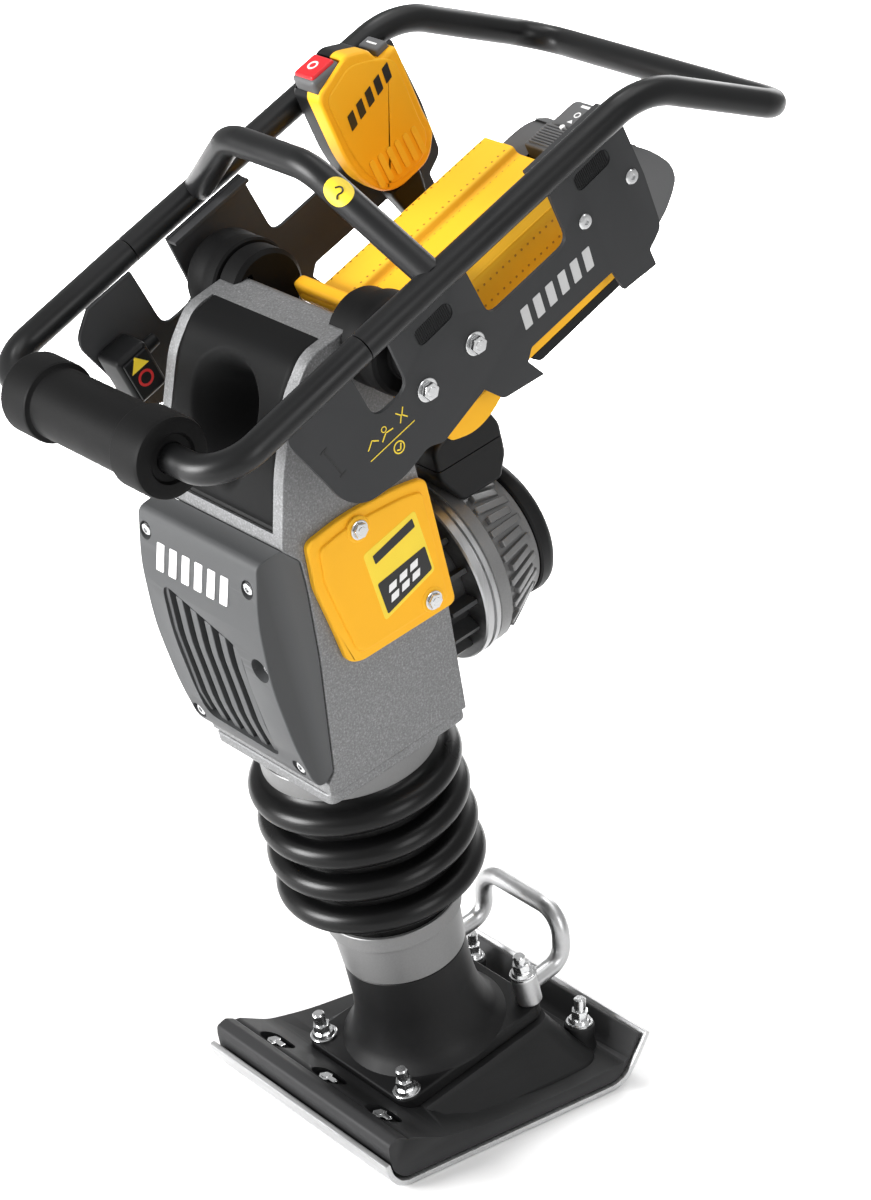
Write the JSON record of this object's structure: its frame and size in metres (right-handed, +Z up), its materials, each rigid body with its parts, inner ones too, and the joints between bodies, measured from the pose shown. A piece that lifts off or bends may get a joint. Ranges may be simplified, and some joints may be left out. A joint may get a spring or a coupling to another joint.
{
  "type": "jumping jack rammer",
  "caption": "Battery-powered upright rammer: tubular handle with guide roller, yellow battery cradle, cast crankcase, ribbed bellows and a turned-up steel shoe.",
  "frame": {"origin": "centre of the sole's flat underside, on the plane of the side-to-side middle", "axes": "+Z up, +Y rearward towards the operator's handle, +X to the operator's right seen from behind"},
  "size_m": [0.36, 0.6665, 1.0137],
  "materials": {
    "black_paint": "satin black powder coat",
    "black_plastic": "matte moulded plastic",
    "rubber": "moulded rubber",
    "silver_casting": "sand-textured grey casting",
    "machined": "machined aluminium",
    "steel": "bare or plated steel",
    "grey_plastic": "matte dark grey plastic",
    "yellow": "satin yellow plastic",
    "red": "red button plastic",
    "winding": "copper winding"
  },
  "bodies": {
    "foot": {"wear_plate": "steel", "shoe_body": "black_paint", "leg_casting": "black_paint", "spring_cylinder": "silver_casting", "lower_clamp_ring": "machined", "bellows": "rubber", "lower_spring": "steel", "upper_spring": "steel", "guide_bush": "machined", "foot_handle": "machined", "flange_stud_front_right": "steel", "flange_stud_front_left": "steel"},
    "piston": {"piston": "steel", "piston_rod": "steel", "wrist_pin": "steel"},
    "con_rod": {"connecting_rod": "steel"},
    "upper": {"crankcase": "silver_casting", "base_flange": "silver_casting", "guide_cylinder": "machined", "upper_clamp_ring": "machined", "front_cover": "grey_plastic", "intake_insert": "black_plastic", "side_cover_right": "yellow", "side_cover_left": "yellow", "mount_bracket_right": "black_paint", "mount_bracket_left": "black_paint", "motor_neck": "black_paint", "motor_ring": "machined", "motor_housing": "silver_casting", "motor_end_cap": "black_plastic", "stator": "winding", "motor_bearing": "steel", "crank_bearing": "steel", "electronics_box": "black_plastic", "shock_mount_right": "rubber", "shock_mount_left": "rubber"},
    "rotor": {"rotor_shaft": "steel", "rotor_core": "steel", "pinion": "steel", "cooling_fan": "black_plastic"},
    "crank": {"crank_gear": "steel", "crank_shaft": "steel", "crank_pin": "steel", "counterweight": "steel"},
    "handle": {"front_bow": "black_paint", "rear_loop": "black_paint", "lifting_bar": "black_paint", "side_plate_right": "black_paint", "side_plate_left": "black_paint", "cradle": "yellow", "tray_floor": "black_plastic", "control_box": "yellow", "control_back": "black_plastic", "control_bracket": "black_paint"},
    "roller": {"guide_roller": "rubber"},
    "battery": {"battery_pack": "grey_plastic"},
    "latch": {"battery_latch": "grey_plastic"},
    "stop": {"stop_button": "red"},
    "start": {"start_button": "grey_plastic"}
  },
  "joints": [
    {"name": "ram_stroke", "type": "slide", "parent": "foot", "child": "upper", "axis": [0, -0.2588, 0.9659], "range_m": [0, 0.06], "deforming": ["bellows"]},
    {"name": "spring_travel", "type": "slide", "parent": "foot", "child": "piston", "axis": [0, -0.2588, 0.9659], "range_m": [-0.012, 0.012], "stiffness_N_per_m": 80000, "deforming": ["lower_spring", "upper_spring"]},
    {"name": "con_rod_swing", "type": "hinge", "parent": "piston", "child": "con_rod", "pos_m": [0, -0.11595, 0.47774], "axis": [0, 0.9659, 0.2588], "range_deg": [-9, 9]},
    {"name": "crank_turn", "type": "hinge", "parent": "upper", "child": "crank", "pos_m": [0, -0.10837, 0.604], "axis": [0, 0.9659, 0.2588], "continuous": true},
    {"name": "rotor_spin", "type": "hinge", "parent": "upper", "child": "rotor", "pos_m": [0, 0.02117, 0.54553], "axis": [0, 0.9659, 0.2588], "continuous": true},
    {"name": "handle_tilt", "type": "hinge", "parent": "upper", "child": "handle", "pos_m": [0, -0.12471, 0.81476], "axis": [1, 0, 0], "range_deg": [-2.5, 2.5], "stiffness_Nm_per_rad": 6000},
    {"name": "roller_spin", "type": "hinge", "parent": "handle", "child": "roller", "pos_m": [0, -0.34465, 0.76232], "axis": [1, 0, 0], "continuous": true},
    {"name": "battery_slide", "type": "slide", "parent": "handle", "child": "battery", "axis": [0, 0.8763, 0.4818], "range_m": [0, 0.06]},
    {"name": "latch_press", "type": "slide", "parent": "battery", "child": "latch", "axis": [0, -0.4818, 0.8763], "range_m": [-0.003, 0], "stiffness_N_per_m": 900, "springref_m": 0.002},
    {"name": "stop_press", "type": "slide", "parent": "handle", "child": "stop", "axis": [0, -0.4818, 0.8763], "range_m": [-0.003, 0], "stiffness_N_per_m": 900, "springref_m": 0.002},
    {"name": "start_press", "type": "slide", "parent": "handle", "child": "start", "axis": [0, -0.4818, 0.8763], "range_m": [-0.003, 0], "stiffness_N_per_m": 600, "springref_m": 0.002}
  ],
  "couplings": [
    {"joint": "rotor_spin", "follows": "crank_turn", "ratio": -4}
  ]
}
